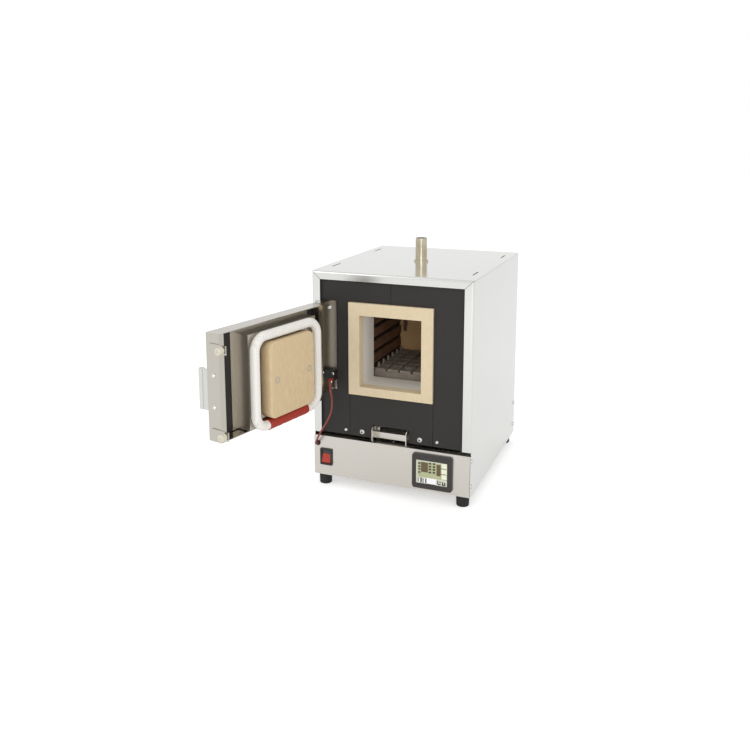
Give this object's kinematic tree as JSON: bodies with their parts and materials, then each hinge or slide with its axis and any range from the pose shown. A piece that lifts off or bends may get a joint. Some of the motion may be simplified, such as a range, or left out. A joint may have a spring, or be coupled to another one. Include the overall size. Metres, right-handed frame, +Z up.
{
  "type": "jewellery kiln",
  "caption": "Bench-top front-loading kiln with a hinged fibre-plug door, gasketed chamber, flue, air damper and touch controller.",
  "frame": {"origin": "centre of the bounding box footprint, on the floor under the rubber feet, with the door in its free-standing open pose", "axes": "+X to the right seen from the door side, +Y from the door side to the rear panel, +Z up"},
  "size_m": [0.3546, 0.6672, 0.45],
  "materials": {
    "stainless_panel": "bright annealed stainless sheet",
    "inner_steel": "plain stainless sheet",
    "black_plate": "matt black heat-resistant coating",
    "fibre_frame": "fine-grained hard fibre board",
    "white_fibre": "white vacuum-formed fibre",
    "chamber_board": "heat-darkened refractory board",
    "backing_fibre": "soft white backing board",
    "rod": "oxidised heating element",
    "brass": "machined brass",
    "grid_ceramic": "dark kiln shelf",
    "sheath": "alumina sheath",
    "flue_steel": "heat-tinted stainless tube",
    "bracket_steel": "stainless bracket",
    "screw_steel": "bright plated screws",
    "black_plastic": "black moulding",
    "gloss_bezel": "gloss black moulding",
    "red_rocker": "translucent red rocker",
    "screen": "lit display behind a window",
    "cream_plastic": "cream moulding",
    "black_rubber": "moulded rubber",
    "aluminium": "extruded aluminium",
    "red_lead": "silicone-sheathed lead",
    "door_steel": "stainless door sheet",
    "rope": "braided white fibre rope",
    "red_sleeve": "red silicone-coated sleeve",
    "post_cream": "cream ceramic",
    "handle_grey": "light grey coated plate"
  },
  "bodies": {
    "case": {"top_cover": "stainless_panel", "side_panel_left": "stainless_panel", "side_panel_right": "stainless_panel", "rear_panel": "inner_steel", "base_plate": "inner_steel", "divider_plate": "inner_steel", "control_panel": "stainless_panel", "front_plate_left": "black_plate", "front_plate_right": "black_plate", "front_plate_lower": "black_plate", "chamber_frame": "fibre_frame", "throat_liner": "white_fibre", "chamber_floor": "chamber_board", "chamber_roof": "chamber_board", "chamber_wall_left": "chamber_board", "chamber_wall_right": "chamber_board", "chamber_wall_rear": "chamber_board", "insulation_boards": "backing_fibre", "element_rods_left": "rod", "element_rods_right": "rod", "element_clamps": "brass", "floor_grid": "grid_ceramic", "thermocouple": "sheath", "flue_pipe": "flue_steel", "flue_collar": "stainless_panel", "air_duct": "inner_steel", "front_plate_screws": "screw_steel", "duct_screws": "screw_steel", "side_screws": "screw_steel", "switch_bezel": "black_plastic", "controller_bezel": "gloss_bezel", "controller_screen": "screen", "controller_housing": "black_plastic", "solid_state_relay": "black_plastic", "relay_heatsink": "aluminium", "terminal_block": "cream_plastic", "mains_inlet": "black_plastic", "feet": "black_rubber", "foot_screws": "screw_steel", "hinge_bracket": "bracket_steel", "bracket_screws": "screw_steel", "hinge_bolts": "screw_steel", "door_switch_body": "black_plastic", "door_switch_lead": "red_lead", "lead_grommet": "black_rubber"},
    "door": {"door_tray": "door_steel", "door_board": "black_plate", "door_liner": "door_steel", "door_insulation": "backing_fibre", "door_plug": "fibre_frame", "gasket_rope": "rope", "gasket_sleeve": "red_sleeve", "plug_pins": "sheath", "door_handle": "handle_grey", "handle_screws": "screw_steel", "catch_posts": "post_cream", "catch_bracket": "door_steel"},
    "damper": {"air_damper": "stainless_panel"},
    "rocker": {"power_rocker": "red_rocker"},
    "plunger": {"door_switch_plunger": "red_rocker"}
  },
  "joints": [
    {"name": "door_hinge", "type": "hinge", "parent": "case", "child": "door", "pos_m": [-0.09479, -0.05926, 0.27], "axis": [0, 0, 1], "range_deg": [-10, 102.5]},
    {"name": "damper_slide", "type": "slide", "parent": "case", "child": "damper", "axis": [0, -1, 0], "range_m": [0, 0.025]},
    {"name": "rocker_tilt", "type": "hinge", "parent": "case", "child": "rocker", "pos_m": [-0.09954, -0.01626, 0.056], "axis": [1, 0, 0], "range_deg": [0, 16]},
    {"name": "plunger_slide", "type": "slide", "parent": "case", "child": "plunger", "axis": [0, 1, 0], "range_m": [0, 0.002], "stiffness_N_per_m": 150}
  ]
}
